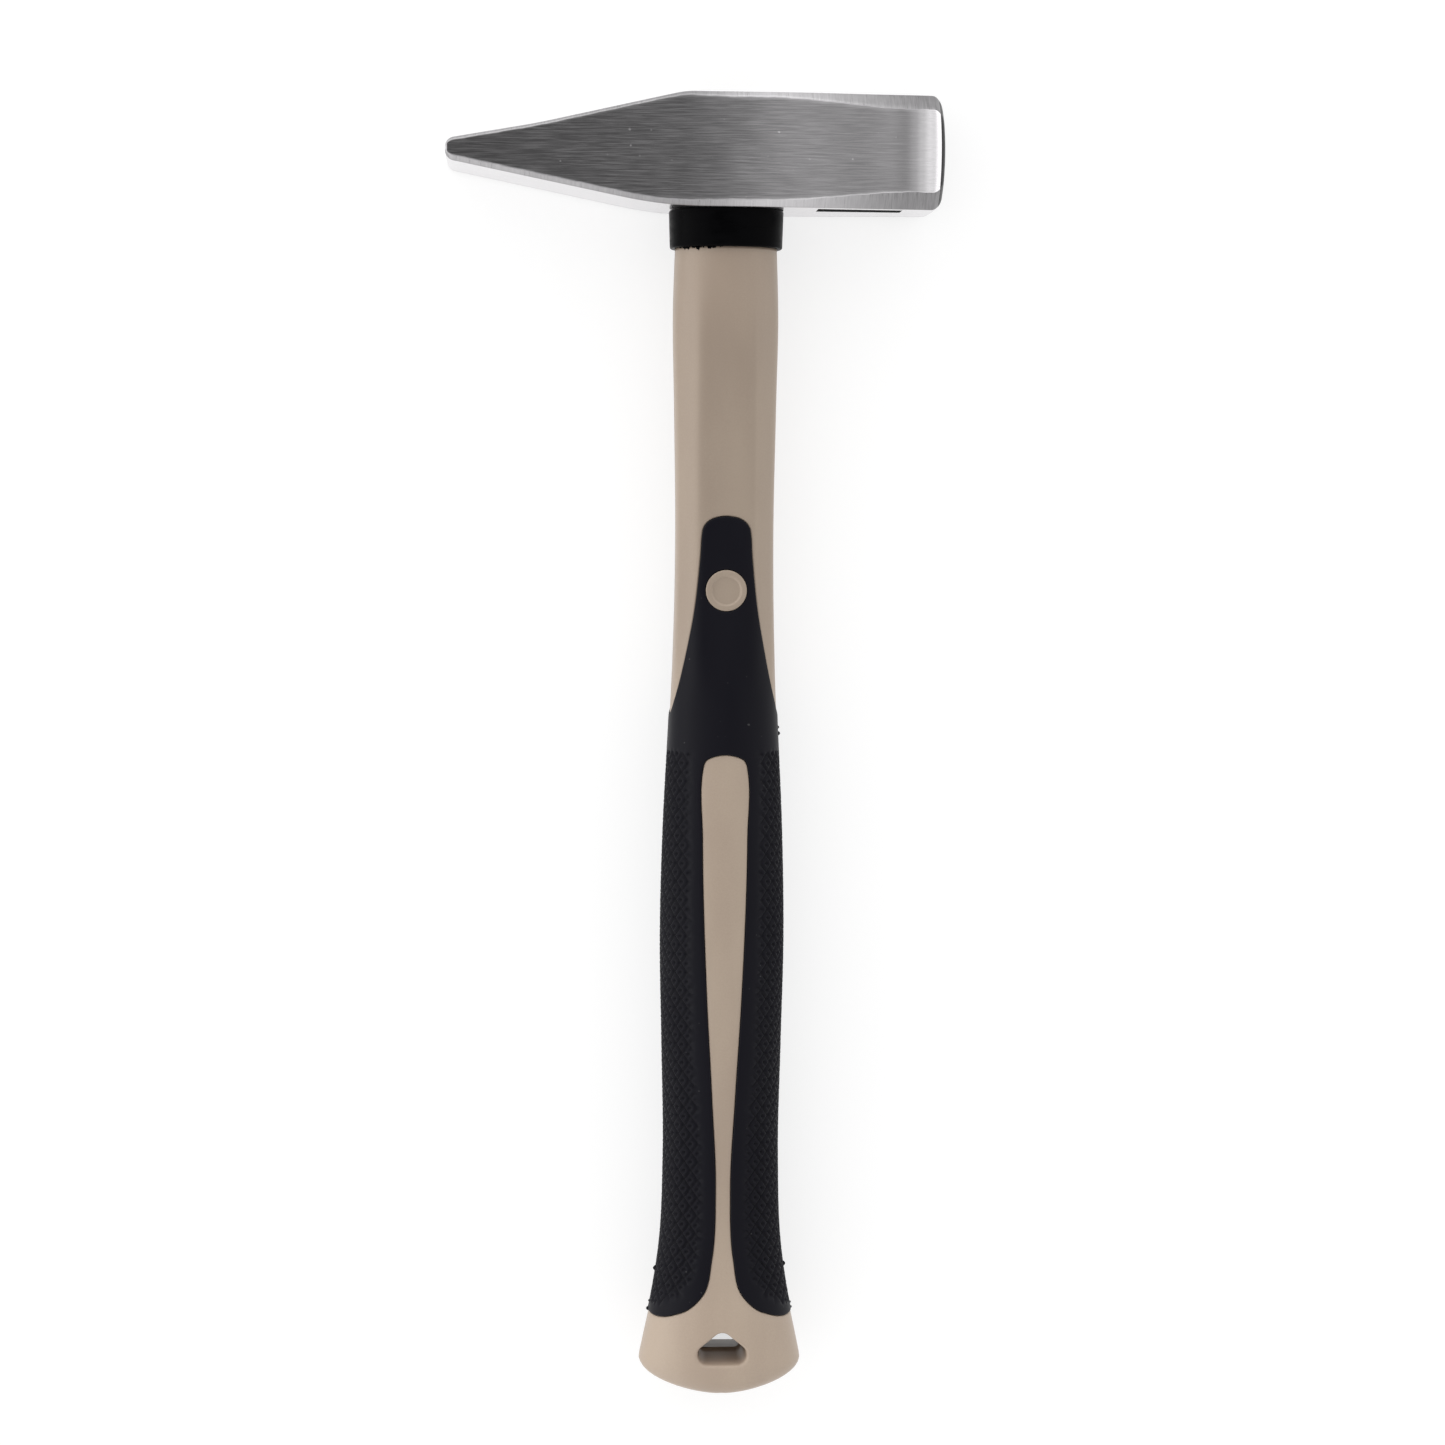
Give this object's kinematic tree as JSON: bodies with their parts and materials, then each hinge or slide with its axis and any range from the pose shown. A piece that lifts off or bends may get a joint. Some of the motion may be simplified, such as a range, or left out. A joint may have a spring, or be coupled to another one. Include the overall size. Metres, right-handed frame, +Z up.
{
  "type": "cross peen hammer",
  "caption": "Engineer's hammer: square poll and cross peen steel head on a moulded plastic fibreglass-core handle with a knurled soft grip and a hang hole.",
  "frame": {"origin": "on the lower cheek of the head, under the point where the handle's axis crosses the head's mid-line", "axes": "+Z up, normal to the cheeks; +X towards the striking face, -X towards the peen; +Y along the handle from the butt to the head"},
  "size_m": [0.118, 0.3094, 0.027],
  "materials": {
    "ground_steel": "ground along the head, fine scratches",
    "glass_fibre": "pultruded glass fibre, sawn end",
    "epoxy": "cast epoxy",
    "black_plastic": "smooth moulded",
    "beige_plastic": "satin moulded",
    "black_rubber": "soft matt, knurled at the sides"
  },
  "bodies": {
    "root": {"hammer_head": "ground_steel", "fibreglass_core": "glass_fibre", "eye_resin": "epoxy", "neck_collar": "black_plastic", "handle_body": "beige_plastic", "rubber_grip": "black_rubber"}
  },
  "joints": []
}
